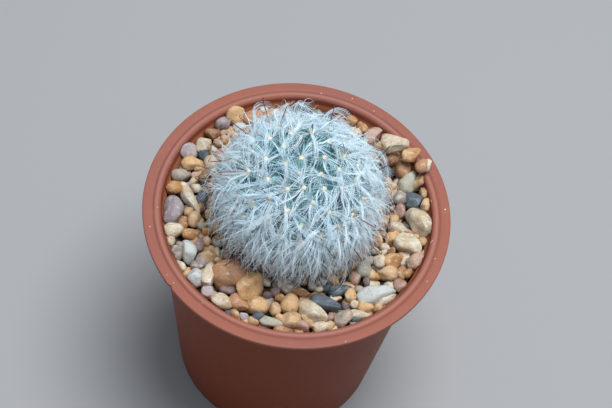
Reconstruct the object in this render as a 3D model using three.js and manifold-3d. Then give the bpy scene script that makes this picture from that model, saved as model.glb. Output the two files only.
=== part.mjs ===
// A powder puff cactus in a thin plastic nursery pot, top-dressed with river pebbles.
// Millimetres, +Z up. The origin is the middle of the ring that the pot stands on.
import * as THREE from "three";
import { ConvexHull } from "three/addons/math/ConvexHull.js";
import { mergeVertices } from "three/addons/utils/BufferGeometryUtils.js";
import Module from "manifold-3d";

const wasm = await Module();
wasm.setup();

// Driving dimensions of the pot
const potHeight = 76;
const rimRadius = 40;
const boreRadius = 35.2;
const bodyTopRadius = 35.5;
const bodyTopHeight = 73.8;
const footRadius = 28.3;
const wall = 1.2;
const footRingWidth = 2.4;
const floorLow = 1.5;
const floorHigh = 2.9;
const drainHoleRadius = 3;
const drainCircleRadius = 15;
const drainHoleCount = 4;
const potSides = 48;

// Driving dimensions of what fills the pot
const gap = 0.3;
const soilTop = 67.6;
const bedTop = 71.6;
const stoneLevel = 72.9;
const heapSlope = 0.037;
const stoneRingInner = 17;
const stoneRingOuter = 32.6;

// Driving dimensions of the plant
const stemCentreHeight = 83;
const stemRadius = 14.8;
const stemHalfHeight = 12.3;
const tubercleHeight = 3.2;
const tubercleTipRadius = 1.05;
const tubercleCount = 114;
const lowestTubercle = -0.46;
const spiralTurn = THREE.MathUtils.degToRad(137.32);
const spiralStart = THREE.MathUtils.degToRad(216.6);
const crownLeanRight = THREE.MathUtils.degToRad(2.5);
const crownLeanFront = THREE.MathUtils.degToRad(5.1);
const stemUndersideHeight = 73;
const stemUndersideRadius = 10;
const hairsPerAreole = 5;
const hairLength = 8.7;
const hairRadius = 0.2;
const hairRing = 0.72;
const hookedSpineLength = 7;
const hookRadius = 0.8;
const hookedSpineRadius = 0.3;
const hookedSpineEvery = 7;

const right = new THREE.Vector3(1, 0, 0);
const back = new THREE.Vector3(0, 1, 0);
const up = new THREE.Vector3(0, 0, 1);

// A seeded generator of numbers from 0 to 1, the same on every run.
function seededDraw(seed) {
  let state = seed;
  return () => {
    state = (state * 16807) % 2147483647;
    return state / 2147483647;
  };
}

// A closed geometry as a solid that can be joined and cut.
function toSolid(geometry) {
  const bare = geometry.clone();
  bare.deleteAttribute("normal");
  bare.deleteAttribute("uv");
  const merged = mergeVertices(bare, 1e-4);
  return new wasm.Manifold(
    new wasm.Mesh({
      numProp: 3,
      vertProperties: merged.attributes.position.array,
      triVerts: new Uint32Array(merged.index.array),
    }),
  );
}

function toGeometry(solid) {
  const mesh = solid.getMesh();
  const geometry = new THREE.BufferGeometry();
  geometry.setAttribute("position", new THREE.BufferAttribute(mesh.vertProperties, 3));
  geometry.setIndex(new THREE.BufferAttribute(mesh.triVerts, 1));
  geometry.computeVertexNormals();
  return geometry;
}

// Only the largest body of a solid: sealed hollows are filled this way, and loose scraps dropped.
function largestBody(solid) {
  return solid.decompose().reduce((best, body) => (body.volume() > best.volume() ? body : best));
}

// Joins solids two by two, so that each step works on pieces of like size.
function joinAll(solids) {
  let row = solids;
  while (row.length > 1) {
    const next = [];
    for (let i = 0; i < row.length; i += 2) {
      next.push(i + 1 < row.length ? row[i].add(row[i + 1]) : row[i]);
    }
    row = next;
  }
  return row[0];
}

// A body turned round the Z axis from an outline of [radius, height] points.
function turned(outline, sides) {
  const points = outline.map(([radius, height]) => new THREE.Vector2(radius, height));
  const geometry = new THREE.LatheGeometry(points, sides);
  geometry.rotateX(Math.PI / 2);
  return geometry;
}

// The pot's tapered wall, outside and inside, at a height.
function outerRadius(height) {
  return footRadius + ((bodyTopRadius - footRadius) * height) / bodyTopHeight;
}

function innerRadius(height) {
  return outerRadius(height) - wall;
}

// The pot: foot ring, recessed floor, wall, and a flat rim flange with a rounded bead at its inner edge.
function makePot() {
  const flangeLow = potHeight - 1.3;
  const shoulder = potHeight - 0.5;
  const outline = [
    [0, floorLow],
    [footRadius - footRingWidth - 0.6, floorLow],
    [footRadius - footRingWidth, 0],
    [footRadius - 0.6, 0],
    [footRadius + 0.05, 0.8],
    [bodyTopRadius, bodyTopHeight],
    [bodyTopRadius + 0.9, flangeLow - 0.2],
    [rimRadius - 0.4, flangeLow],
    [rimRadius, flangeLow + 0.3],
    [rimRadius, shoulder - 0.3],
    [rimRadius - 0.4, shoulder],
    [boreRadius + 2.1, shoulder - 0.05],
    [boreRadius + 1.7, potHeight - 0.25],
    [boreRadius + 1.1, potHeight],
    [boreRadius + 0.4, potHeight - 0.15],
    [boreRadius, potHeight - 0.7],
    [boreRadius - 0.1, potHeight - 1.6],
    [innerRadius(73), 73],
    [innerRadius(5), 5],
    [innerRadius(5) - 1.4, floorHigh],
    [0, floorHigh],
  ];
  let pot = toSolid(turned(outline, potSides));
  const drainPlaces = [[0, 0]];
  for (let i = 0; i < drainHoleCount; i += 1) {
    const angle = ((i + 0.5) / drainHoleCount) * 2 * Math.PI;
    drainPlaces.push([drainCircleRadius * Math.cos(angle), drainCircleRadius * Math.sin(angle)]);
  }
  for (const [x, y] of drainPlaces) {
    const drill = new THREE.CylinderGeometry(drainHoleRadius, drainHoleRadius, 6, 12);
    drill.rotateX(Math.PI / 2);
    drill.translate(x, y, (floorLow + floorHigh) / 2);
    pot = pot.subtract(toSolid(drill));
  }
  return toGeometry(pot);
}

// The neck and tap root below the stem, from its tip up to where it runs into the stem.
const rootOutline = [
  [0, 50],
  [2.4, 51],
  [4.6, 56],
  [6.3, 62],
  [7.4, 68],
  [7.8, 75],
];

// The hole for the root, wider than it all round. It runs up to the given height.
function rootHole(topHeight) {
  const clearance = gap + 0.1;
  const outline = [[0, rootOutline[0][1] - clearance]];
  for (const [radius, height] of rootOutline.slice(1)) {
    outline.push([radius + clearance, height]);
  }
  outline.push([rootOutline[5][0] + clearance, topHeight]);
  outline.push([0, topHeight]);
  return toSolid(turned(outline, 20));
}

// The potting mix: one plug that fills the pot below the pebbles, with a plain hole for the root.
function makeSoil() {
  const outline = [
    [0, floorHigh + gap],
    [innerRadius(5) - 1.4 - gap, floorHigh + gap],
    [innerRadius(5.4) - gap, 5.4],
    [innerRadius(soilTop) - gap, soilTop],
    [0, soilTop],
  ];
  return toGeometry(toSolid(turned(outline, 40)).subtract(rootHole(90)));
}

// The stones that stand out in the ring, each [x, y, length, width, turn in degrees, lift].
const placedStones = [
  // front left
  [-14.5, -20, 8, 6.5, 20, 0.5],
  [-8.5, -22.5, 7.5, 6, 40, 0.5],
  [-6, -27.5, 5, 4, 10, 0],
  [-10.5, -27.5, 5, 3.5, -25, 0],
  [-14, -24, 4, 2.5, 0, -0.8],
  [-15, -28, 5, 3, -25, 0],
  [-5, -30.5, 3.5, 2, 5, 0],
  [-2, -31.5, 5.5, 2.5, -10, 0],
  [-1.5, -27.5, 3.5, 2.5, 90, 0],
  // front
  [2, -25.5, 4.5, 4, 90, 0.3],
  [3, -30, 4.5, 3.5, 10, 0],
  [5.5, -31, 4, 2.5, -10, 0],
  [4, -22, 4.5, 2.5, 0, 0],
  [8, -27, 7.5, 4, -25, 0.5],
  [7, -29.5, 4, 2, -30, 0],
  [11, -24, 7.5, 3, -15, 0.5],
  [14, -19.5, 5.5, 2.5, 25, 0],
  [10.5, -30.5, 3.5, 2.5, 20, 0],
  [16, -27, 4.5, 4, 50, 0.2],
  // front right
  [17, -20.5, 3.5, 2.5, 90, 0],
  [23, -18.5, 10.5, 4.5, 30, 1],
  [17.5, -15.5, 3, 2.5, 90, 0],
  [26, -19.5, 4.5, 2.5, 30, 0],
  [21, -23, 4, 3, 0, 0],
  [20, -25.5, 5.5, 2, -5, 0],
  [19, -12.5, 4, 4, 10, 0],
  [22, -13.5, 3.5, 2.5, -10, 0],
  [25.5, -12.5, 5, 3.5, 10, 0],
  [26.5, -8.5, 4.5, 3.5, 20, 0.3],
  [29, -15, 4, 3, 80, 0],
  [23, -9.5, 3, 3, 0, 0],
  // right
  [29.5, -3, 7, 5, -35, 0.8],
  [31, 3.5, 7.5, 6, -45, 1],
  [26.5, 1, 4.5, 3.5, 10, 0.3],
  [25.5, -2, 4, 3, 70, 0],
  [26.5, 6.5, 3.5, 2.5, 90, 0],
  [26, 10.5, 4, 3, 90, 0],
  [32.5, -4.5, 5, 3, 75, 0],
  [31, -8.5, 3, 2.5, 70, 0],
  // back right
  [22.5, 22, 7.5, 5, 10, 2.6],
  [27, 20, 5, 3.5, 80, 2.4],
  [30, 16.5, 4.5, 2.5, 80, 2.4],
  [27.5, 15, 5.5, 4.5, 80, 0.5],
  [29.5, 10, 4, 4, 0, -0.5],
  [31, 13, 2.5, 2.5, 0, 0],
  [32, 8.5, 3.5, 2.5, 80, 0],
  // left
  [-31.5, -4.5, 6.5, 5, 90, 0.6],
  [-31.5, 1.5, 4.5, 3.5, 10, 0],
  [-28, -0.5, 8.5, 3, -55, 0.3],
  [-25, 0.5, 4.5, 2.5, 90, -0.3],
  [-30, -11, 5, 3.5, 45, 0.3],
  [-26, -10.5, 4.5, 2.5, 10, 0],
  [-26, -6, 4, 3, 90, 0],
  [-28.5, -15.5, 4, 3, 90, 0],
  [-25.5, -16, 6, 3.5, -60, 0.5],
  [-23.5, -13, 3.5, 2.5, 90, -0.3],
  [-20.5, -16, 4, 3, 10, 0],
  [-19.5, -21.5, 6.5, 3, 90, 0.8],
  [-22.5, -23, 5, 4.5, 10, 0.6],
  [-23, -19, 3, 2.5, 0, 0],
  [-19, -26, 3, 2.5, -10, 0],
  // back left
  [-31, 6, 5, 3, 10, 0],
  [-29.5, 10, 4.5, 3.5, 0, 0],
  [-25.5, 7.5, 3, 3, 0, 0],
  [-30, 13.5, 4, 4, 0, 0.5],
  [-26.5, 17, 4, 4, 0, 0.5],
  [-20.5, 26.5, 4.5, 3.5, 20, 1.5],
  [-23.5, 23.5, 3.5, 3, 30, 0.8],
  [-25.5, 20.5, 4, 3, 40, 0],
];

// The placed stones, and smaller ones thrown at random into the free ground between them.
function stonePlaces() {
  const draw = seededDraw(4711);
  const stones = placedStones.map(([x, y, length, width, turn, lift]) => ({
    x,
    y,
    length,
    width,
    turn: (turn * Math.PI) / 180,
    lift,
  }));
  const tries = 700;
  for (let i = 0; i < tries; i += 1) {
    const radius = stoneRingInner + (stoneRingOuter - stoneRingInner) * Math.sqrt(draw());
    const angle = 2 * Math.PI * draw();
    const length = 3.9 + 2.3 * draw();
    const width = length * (0.62 + 0.3 * draw());
    const turn = Math.PI * draw();
    const x = radius * Math.cos(angle);
    const y = radius * Math.sin(angle);
    const clear = stones.every(
      (other) => Math.hypot(other.x - x, other.y - y) > 0.265 * (other.length + other.width + length + width),
    );
    if (clear) {
      stones.push({ x, y, length, width, turn, lift: 0 });
    }
  }
  return stones;
}

// The pebbles: an annular bed with the upper layer of stones sunk into it. The heap is a little higher
// at the back of the pot. All of it stays clear of the wall, of the rim's bead and of the plant's neck.
function makeGravel() {
  const draw = seededDraw(2203);
  const bedLow = soilTop + gap;
  const bed = turned(
    [
      [0, bedLow],
      [innerRadius(bedLow) - gap, bedLow],
      [innerRadius(bedTop) - gap, bedTop],
      [0, bedTop],
    ],
    40,
  );
  const corners = bed.attributes.position;
  for (let i = 0; i < corners.count; i += 1) {
    if (corners.getZ(i) > bedTop - 0.1) {
      corners.setZ(i, bedTop + heapSlope * corners.getY(i));
    }
  }
  const mould = turned(
    [
      [0, bedLow],
      [innerRadius(bedLow) - gap, bedLow],
      [innerRadius(73) - gap, 73],
      [boreRadius - 0.1 - gap, potHeight - 1.3],
      [boreRadius - 0.1 - gap, potHeight + 8],
      [0, potHeight + 8],
    ],
    potSides,
  );
  const pebbles = stonePlaces().map(({ x, y, length, width, turn, lift }) => {
    const thickness = 0.78 * width + 0.8 + lift;
    const pebble = new THREE.IcosahedronGeometry(0.56, 0);
    pebble.rotateX(6 * draw());
    pebble.rotateZ(6 * draw());
    pebble.scale(length, width, thickness);
    pebble.rotateY(0.3 * (draw() - 0.5));
    pebble.rotateZ(turn);
    pebble.translate(x, y, stoneLevel + heapSlope * y + lift / 2 - 0.2);
    return toSolid(pebble);
  });
  const heap = joinAll(pebbles).add(toSolid(bed));
  return toGeometry(largestBody(heap.intersect(toSolid(mould)).subtract(rootHole(90))));
}

// The places of the areoles: one spiral from the crown down, evenly spread over the stem, whose turns
// line up as the crossing rows of tubercles. The crown leans a little to the right and to the front.
function areolePlaces() {
  const tipRadius = stemRadius + tubercleHeight;
  const tipHalfHeight = stemHalfHeight + tubercleHeight;
  const tipSize = new THREE.Vector3(tipRadius, tipRadius, tipHalfHeight);
  const centre = new THREE.Vector3(0, 0, stemCentreHeight);
  const places = [];
  for (let i = 0; i < tubercleCount; i += 1) {
    const share = (i + 0.5) / tubercleCount;
    const level = 1 - (1 - lowestTubercle) * share;
    const angle = spiralStart + i * spiralTurn;
    const ring = Math.sqrt(1 - level * level);
    const place = new THREE.Vector3(ring * Math.cos(angle), ring * Math.sin(angle), level);
    place.applyAxisAngle(back, crownLeanRight).applyAxisAngle(right, crownLeanFront);
    const outward = place.clone().divide(tipSize).normalize();
    const tip = place.multiply(tipSize).add(centre);
    places.push({ tip, outward });
  }
  return places;
}

// Turns a geometry made along +Y so that it points along a direction, and puts its middle at a place.
function aim(geometry, direction, middle) {
  const turn = new THREE.Quaternion().setFromUnitVectors(back, direction);
  geometry.applyQuaternion(turn);
  geometry.translate(middle.x, middle.y, middle.z);
  return geometry;
}

// The unit vector that points from the areole's middle towards one side of it, along its face.
function towards({ outward }, side) {
  const across = new THREE.Vector3().crossVectors(up, outward).normalize();
  const uphill = new THREE.Vector3().crossVectors(outward, across);
  return across.multiplyScalar(Math.cos(side)).addScaledVector(uphill, Math.sin(side));
}

// A direction that leans away from the areole's outward direction, by an angle and towards a side.
function leaning(areole, lean, side) {
  const straight = areole.outward.clone().multiplyScalar(Math.cos(lean));
  return straight.addScaledVector(towards(areole, side), Math.sin(lean));
}

// Lifts a direction so that a hair of the given length ends above the pebbles.
function clearOfPebbles(tip, direction, length) {
  const lowest = potHeight + 0.6 + heapSlope * tip.y;
  const end = tip.z + direction.z * length;
  if (end < lowest) {
    direction.z = (lowest - tip.z) / length;
    direction.normalize();
  }
  return direction;
}

// The white hairs of one areole: half of them stand out, and half of them spread over the stem.
function makeHairs(areole, draw) {
  const hairs = [];
  const start = 2 * Math.PI * draw();
  for (let i = 0; i < hairsPerAreole; i += 1) {
    const standing = i % 2 === 0;
    const lean = (standing ? 0.5 : 0.95) + 0.2 * (draw() - 0.5);
    const length = hairLength * (0.86 + 0.24 * draw());
    const side = start + ((i + 0.3 * draw()) / hairsPerAreole) * 2 * Math.PI;
    const direction = clearOfPebbles(areole.tip, leaning(areole, lean, side), length);
    const sink = 0.5;
    const needle = new THREE.ConeGeometry(hairRadius, length + sink, 3);
    const root = areole.tip.clone().addScaledVector(towards(areole, side), hairRing);
    const middle = root.addScaledVector(direction, (length - sink) / 2);
    hairs.push(toSolid(aim(needle, direction, middle)));
  }
  return hairs;
}

// A closed geometry from a list of triangles, each three corner points in order.
function fromTriangles(triangles) {
  const geometry = new THREE.BufferGeometry().setFromPoints(triangles.flat());
  geometry.setIndex(triangles.flat().map((corner, i) => i));
  return geometry;
}

// A three-sided thread through points that lie in one plane. Sideways is that plane's normal.
function makeThread(points, radius, sideways) {
  const rings = points.map((point, i) => {
    const before = points[Math.max(i - 1, 0)];
    const after = points[Math.min(i + 1, points.length - 1)];
    const along = after.clone().sub(before).normalize();
    const across = new THREE.Vector3().crossVectors(along, sideways);
    return [0, 1, 2].map((corner) => {
      const angle = (corner * 2 * Math.PI) / 3;
      return point
        .clone()
        .addScaledVector(sideways, radius * Math.cos(angle))
        .addScaledVector(across, -radius * Math.sin(angle));
    });
  });
  const last = rings[rings.length - 1];
  const triangles = [
    [rings[0][2], rings[0][1], rings[0][0]],
    [last[0], last[1], last[2]],
  ];
  for (let i = 1; i < rings.length; i += 1) {
    for (let corner = 0; corner < 3; corner += 1) {
      const next = (corner + 1) % 3;
      triangles.push([rings[i - 1][corner], rings[i - 1][next], rings[i][next]]);
      triangles.push([rings[i - 1][corner], rings[i][next], rings[i][corner]]);
    }
  }
  return toSolid(fromTriangles(triangles));
}

// One central spine: a straight shaft that ends in a hook.
function makeHookedSpine(areole, draw) {
  const side = 2 * Math.PI * draw();
  const direction = clearOfPebbles(areole.tip, leaning(areole, 0.25, side), hookedSpineLength);
  const sideways = new THREE.Vector3().crossVectors(direction, up).normalize();
  const inward = new THREE.Vector3().crossVectors(sideways, direction);
  const shaftEnd = areole.tip.clone().addScaledVector(direction, hookedSpineLength - hookRadius);
  const points = [areole.tip.clone().addScaledVector(direction, -0.6)];
  const hookSteps = 3;
  for (let i = 0; i <= hookSteps; i += 1) {
    const angle = (i / hookSteps) * 2.4;
    const point = shaftEnd.clone().addScaledVector(direction, hookRadius * Math.sin(angle));
    points.push(point.addScaledVector(inward, hookRadius * (1 - Math.cos(angle))));
  }
  return makeThread(points, hookedSpineRadius, sideways);
}

// The places that the skin is stretched over: the areoles, and a ring and a middle under the stem.
function skinPlaces(areoles) {
  const places = areoles.map(({ tip }) => tip);
  const ringCount = 9;
  for (let i = 0; i < ringCount; i += 1) {
    const angle = (i / ringCount) * 2 * Math.PI;
    const x = stemUndersideRadius * Math.cos(angle);
    const y = stemUndersideRadius * Math.sin(angle);
    places.push(new THREE.Vector3(x, y, stemUndersideHeight));
  }
  places.push(new THREE.Vector3(0, 0, stemUndersideHeight - 1));
  return places;
}

// The stem: a flat-topped tubercle at every place, with a valley between each three neighbours and a
// saddle between each two. The neck and the root below it are turned, and joined to it.
function makeStem(areoles) {
  const centre = new THREE.Vector3(0, 0, stemCentreHeight);
  const valleyDepth = stemRadius / (stemRadius + tubercleHeight);
  const saddleDepth = valleyDepth + 0.05;
  const pressed = (point, share) => point.sub(centre).multiplyScalar(share).add(centre);
  const edgeOfTop = (from, to) => {
    const step = to.clone().sub(from).setLength(tubercleTipRadius);
    return from.clone().add(step);
  };
  const hull = new ConvexHull().setFromPoints(skinPlaces(areoles));
  const triangles = [];
  for (const face of hull.faces) {
    const tops = [0, 1, 2].map((i) => face.getEdge(i).head().point);
    const middle = tops[0].clone().add(tops[1]).add(tops[2]).divideScalar(3);
    const valley = pressed(middle, valleyDepth);
    tops.forEach((top, i) => {
      const next = tops[(i + 1) % 3];
      const previous = tops[(i + 2) % 3];
      const saddle = pressed(top.clone().add(next).divideScalar(2), saddleDepth);
      triangles.push([top, edgeOfTop(top, next), edgeOfTop(top, previous)]);
      triangles.push([edgeOfTop(top, next), valley, edgeOfTop(top, previous)]);
      triangles.push([edgeOfTop(top, next), saddle, valley]);
      triangles.push([saddle, edgeOfTop(next, top), valley]);
    });
  }
  const neck = rootOutline.concat([[0, 78]]);
  return toSolid(fromTriangles(triangles)).add(toSolid(turned(neck, 20)));
}

// The cactus: stem, tubercles, hairs and hooked spines, grown as one.
function makeCactus() {
  const draw = seededDraw(905);
  const areoles = areolePlaces();
  const solids = [];
  areoles.forEach((areole, i) => {
    solids.push(...makeHairs(areole, draw));
    if (i % hookedSpineEvery === 0) {
      solids.push(makeHookedSpine(areole, draw));
    }
  });
  return toGeometry(largestBody(joinAll(solids).add(makeStem(areoles))));
}

function named(name, geometry, color, roughness) {
  const material = new THREE.MeshStandardMaterial({ color, roughness, metalness: 0 });
  const mesh = new THREE.Mesh(geometry, material);
  mesh.name = name;
  return mesh;
}

const plant = new THREE.Group();
plant.add(named("pot", makePot(), 0xb57a6c, 0.55));
plant.add(named("soil", makeSoil(), 0x3a2b22, 0.95));
plant.add(named("gravel", makeGravel(), 0xc9a883, 0.8));
plant.add(named("cactus", makeCactus(), 0xc4d6da, 0.7));

export default plant;
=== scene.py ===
"""A young powder puff cactus in a thin plastic nursery pot, top-dressed with river pebbles."""

import math

import bpy
import numpy as np
from mathutils import Euler, Matrix, Vector


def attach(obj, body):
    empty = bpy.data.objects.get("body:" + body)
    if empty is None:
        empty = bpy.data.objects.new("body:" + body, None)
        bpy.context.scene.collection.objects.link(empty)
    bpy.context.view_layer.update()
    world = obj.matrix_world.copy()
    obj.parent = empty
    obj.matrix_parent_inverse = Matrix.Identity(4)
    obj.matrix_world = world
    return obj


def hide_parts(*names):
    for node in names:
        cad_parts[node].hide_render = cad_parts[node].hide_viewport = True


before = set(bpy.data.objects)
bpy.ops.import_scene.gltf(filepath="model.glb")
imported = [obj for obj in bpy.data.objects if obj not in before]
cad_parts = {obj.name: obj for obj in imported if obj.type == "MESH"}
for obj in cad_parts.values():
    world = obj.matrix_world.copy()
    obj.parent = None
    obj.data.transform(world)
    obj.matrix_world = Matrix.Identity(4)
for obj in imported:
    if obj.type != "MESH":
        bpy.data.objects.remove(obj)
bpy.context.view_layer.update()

# The photograph's viewpoint: a short telephoto lens that looks down on the plant from the front, held
# a little askew. The shape of the rim in the picture gives the distance, the slope and the roll.
mm = 0.001
picture_width = 612
picture_height = 408
lens_length = 100
sensor_width = 36
camera_distance = 439.6 * mm
camera_slope = math.radians(58.78)
camera_roll = math.radians(9.44)
rim_centre = Vector((0, 0, 76 * mm))
rim_centre_pixel = (297.6, 209.0)
focal_pixels = lens_length / sensor_width * picture_width


def pixel_slopes(pixel):
    """How far right, up and ahead a pixel lies, along the camera's axes."""
    right = (pixel[0] - picture_width / 2) / focal_pixels
    up = (picture_height / 2 - pixel[1]) / focal_pixels
    return Vector((right, up, 1))


def pixel_ray(pixel):
    """The direction of a pixel's line of sight."""
    return (camera_axes @ pixel_slopes(pixel)).normalized()


ahead = Vector((0, math.cos(camera_slope), -math.sin(camera_slope)))
level = Vector((1, 0, 0))
upright = level.cross(ahead)
rolled_right = level * math.cos(camera_roll) + upright * math.sin(camera_roll)
rolled_up = upright * math.cos(camera_roll) - level * math.sin(camera_roll)
swing = pixel_slopes(rim_centre_pixel).rotation_difference(Vector((0, 0, 1))).to_matrix()
camera_axes = Matrix((rolled_right, rolled_up, ahead)).transposed() @ swing
camera_place = rim_centre - ahead * camera_distance

bpy.ops.object.camera_add()
camera = bpy.context.object
camera.name = "camera"
camera.data.lens = lens_length
camera.data.sensor_width = sensor_width
camera.data.clip_start = 0.02
right_axis, up_axis, ahead_axis = camera_axes.transposed()
camera_matrix = Matrix((right_axis, up_axis, -ahead_axis)).transposed().to_4x4()
camera_matrix.translation = camera_place
camera.matrix_world = camera_matrix
bpy.context.scene.camera = camera

# The pot: one moulded shell of terracotta-coloured plastic with a foot ring, a recessed floor with four
# drain holes round a middle one, a tapered wall, and a flat rim flange with a bead round its inner edge.
pot_height = 76 * mm
rim_radius = 40 * mm
rim_edge = 39 * mm
flange_low = pot_height - 1.3 * mm
shoulder = pot_height - 0.16 * mm
lip = 0.32 * mm
bead_radius = 1.05 * mm
bead_centre_radius = 36.3 * mm
bead_height = pot_height - bead_radius
groove_radius = 37.25 * mm
groove_depth = 0.27 * mm
bore_radius = 35.2 * mm
bore_low = 73 * mm
bore_bend = 1.3 * mm
body_top_radius = 35.5 * mm
body_top_height = 73.8 * mm
foot_radius = 28.3 * mm
foot_inside = foot_radius - 2.4 * mm
foot_round = 0.5 * mm
wall_slope = (body_top_radius - foot_radius) / body_top_height
wall_thickness = 1.2 * mm
floor_low = 1.5 * mm
floor_high = 2.9 * mm
floor_corner_height = 5 * mm
drain_hole_radius = 3 * mm
drain_circle_radius = 15 * mm
drain_hole_count = 4
drill_depth = 8 * mm
pot_sides = 256


def only(piece):
    """Selects one object and nothing else."""
    bpy.ops.object.select_all(action="DESELECT")
    piece.select_set(True)
    bpy.context.view_layer.objects.active = piece


def modify(piece, kind, **settings):
    """Adds a modifier with its settings, and applies it."""
    modifier = piece.modifiers.new(kind.lower(), kind)
    for name, value in settings.items():
        setattr(modifier, name, value)
    only(piece)
    bpy.ops.object.modifier_apply(modifier=modifier.name)


def start_from(add, **settings):
    """Adds a primitive, or a lamp, with nothing else selected."""
    bpy.ops.object.select_all(action="DESELECT")
    add(**settings)
    return bpy.context.object


def draw_up(name, outline, sides, ends):
    """A turned body, drawn up ring by ring. Its two ends are bridged to each other, or filled."""
    first_radius, first_height = outline[0]
    piece = start_from(bpy.ops.mesh.primitive_circle_add, vertices=sides, radius=first_radius)
    piece.name = name
    bpy.ops.object.mode_set(mode="EDIT")
    bpy.ops.mesh.select_mode(type="EDGE")
    bpy.ops.mesh.select_all(action="SELECT")
    bpy.ops.transform.translate(value=(0, 0, first_height))
    for (radius, height), (next_radius, next_height) in zip(outline, outline[1:]):
        climb = (0, 0, next_height - height)
        bpy.ops.mesh.extrude_edges_move(TRANSFORM_OT_translate={"value": climb})
        growth = next_radius / radius
        bpy.ops.transform.resize(value=(growth, growth, 1), center_override=(0, 0, 0))
    bpy.ops.mesh.select_all(action="SELECT")
    if ends == "bridged":
        bpy.ops.mesh.region_to_loop()
        bpy.ops.mesh.bridge_edge_loops()
    else:
        bpy.ops.mesh.fill_holes(sides=0)
    bpy.ops.mesh.select_all(action="SELECT")
    bpy.ops.mesh.normals_make_consistent(inside=False)
    bpy.ops.object.mode_set(mode="OBJECT")
    return piece


def arc(radius, height, size, start, stop, steps):
    """Points on a round stretch of an outline, from one angle to another, in degrees."""
    angles = [math.radians(start + (stop - start) * i / steps) for i in range(steps + 1)]
    return [(radius + size * math.cos(a), height + size * math.sin(a)) for a in angles]


def outer_radius(height):
    """How far from the axis the pot's wall is outside, at a height."""
    return foot_radius + wall_slope * height


def inner_radius(height):
    """How far from the axis the pot's wall is inside, at a height."""
    return outer_radius(height) - wall_thickness


# The outline runs from the middle drain hole out under the floor, up the wall, over the rim and its
# bead, and back down inside.
floor_corner = inner_radius(floor_corner_height)
floor_edge = floor_corner - 1.4 * mm
pot_outline = [
    (drain_hole_radius, floor_low),
    *[(foot_inside * share, floor_low) for share in (0.3, 0.5, 0.8)],
    (foot_inside - 0.7 * mm, floor_low),
    (foot_inside - 0.1 * mm, foot_round),
    *arc(foot_inside + foot_round, foot_round, foot_round, 210, 270, 3),
    *arc(foot_radius - foot_round, foot_round, foot_round, 270, 355, 4),
    *[(outer_radius(height), height) for height in np.linspace(6, 72, 12) * mm],
    (body_top_radius, body_top_height),
    (body_top_radius + 0.3 * mm, flange_low - 0.3 * mm),
    (body_top_radius + 0.9 * mm, flange_low),
    (rim_radius - 1.5 * mm, flange_low + 0.02 * mm),
    *arc(rim_radius - lip, flange_low + lip, lip, -90, 0, 4),
    *arc(rim_radius - lip, shoulder - lip, lip, 0, 90, 4),
    (rim_edge, shoulder),
    (rim_radius - 1.8 * mm, shoulder - 0.03 * mm),
    (groove_radius + 0.5 * mm, shoulder - 0.06 * mm),
    (groove_radius + 0.2 * mm, shoulder - 0.2 * mm),
    (groove_radius, shoulder - groove_depth),
    *arc(bead_centre_radius, bead_height, bead_radius, 44, 180, 12),
    (bore_radius - 0.05 * mm, bore_low + bore_bend),
    (inner_radius(bore_low), bore_low),
    *[(inner_radius(height), height) for height in np.linspace(66, 6, 8) * mm],
    (floor_corner, floor_corner_height),
    (floor_corner - 0.4 * mm, floor_high + 0.7 * mm),
    *[(radius, floor_high) for radius in (floor_edge, 20 * mm, 10 * mm, drain_hole_radius)],
]
pot = draw_up("moulded_pot", pot_outline, pot_sides, "bridged")

for i in range(drain_hole_count):
    angle = (i + 0.5) / drain_hole_count * 2 * math.pi
    place = Vector((math.cos(angle), math.sin(angle), 0)) * drain_circle_radius
    place.z = (floor_low + floor_high) / 2
    size = {"radius": drain_hole_radius, "depth": drill_depth}
    drill = start_from(bpy.ops.mesh.primitive_cylinder_add, vertices=40, location=place, **size)
    modify(pot, "BOOLEAN", operation="DIFFERENCE", solver="EXACT", object=drill)
    bpy.data.objects.remove(drill)

# The thin rim isn't quite flat or round, and it has a small nick in its edge at the front left.
warp_low = 50 * mm
rim_oval = 0.0014
rim_ripple = 0.0008
rim_wave = 0.1 * mm
nick_angle = math.radians(225)
nick_half_width = 0.9 * mm
nick_depth = 0.42 * mm
for vertex in pot.data.vertices:
    x, y, z = vertex.co
    angle = math.atan2(y, x)
    radius = math.hypot(x, y)
    share = max(0.0, (z - warp_low) / (pot_height - warp_low)) ** 2
    grown = 1 + share * (rim_oval * math.sin(2 * angle + 0.6) + rim_ripple * math.sin(5 * angle))
    if radius > rim_edge:
        gap = abs(math.remainder(angle - nick_angle, 2 * math.pi)) * radius
        grown -= nick_depth / radius * max(0.0, 1 - gap / nick_half_width)
    vertex.co.x *= grown
    vertex.co.y *= grown
    vertex.co.z -= rim_wave * share * (1 + math.sin(3 * angle + 1.1))
only(pot)
bpy.ops.object.shade_smooth_by_angle(angle=math.radians(32))


def plug(tree, socket, value):
    """Puts a value on a socket, or links a node's output to it. Colours are opaque."""
    if isinstance(value, Output):
        tree.links.new(value.socket, socket)
    elif socket.type == "RGBA":
        socket.default_value = (*value, 1)
    else:
        socket.default_value = value


class Output:
    """A node's output. Sums written on it add Math nodes."""

    def __init__(self, tree, socket):
        self.tree = tree
        self.socket = socket

    def math(self, operation, first, second):
        """The result of a Math node on two values."""
        node = self.tree.nodes.new("ShaderNodeMath")
        node.operation = operation
        plug(self.tree, node.inputs[0], first)
        plug(self.tree, node.inputs[1], second)
        return Output(self.tree, node.outputs[0])

    def __add__(self, other):
        return self.math("ADD", self, other)

    def __sub__(self, other):
        return self.math("SUBTRACT", self, other)

    def __rsub__(self, other):
        return self.math("SUBTRACT", other, self)

    def __mul__(self, other):
        return self.math("MULTIPLY", self, other)

    __radd__ = __add__
    __rmul__ = __mul__


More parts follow.
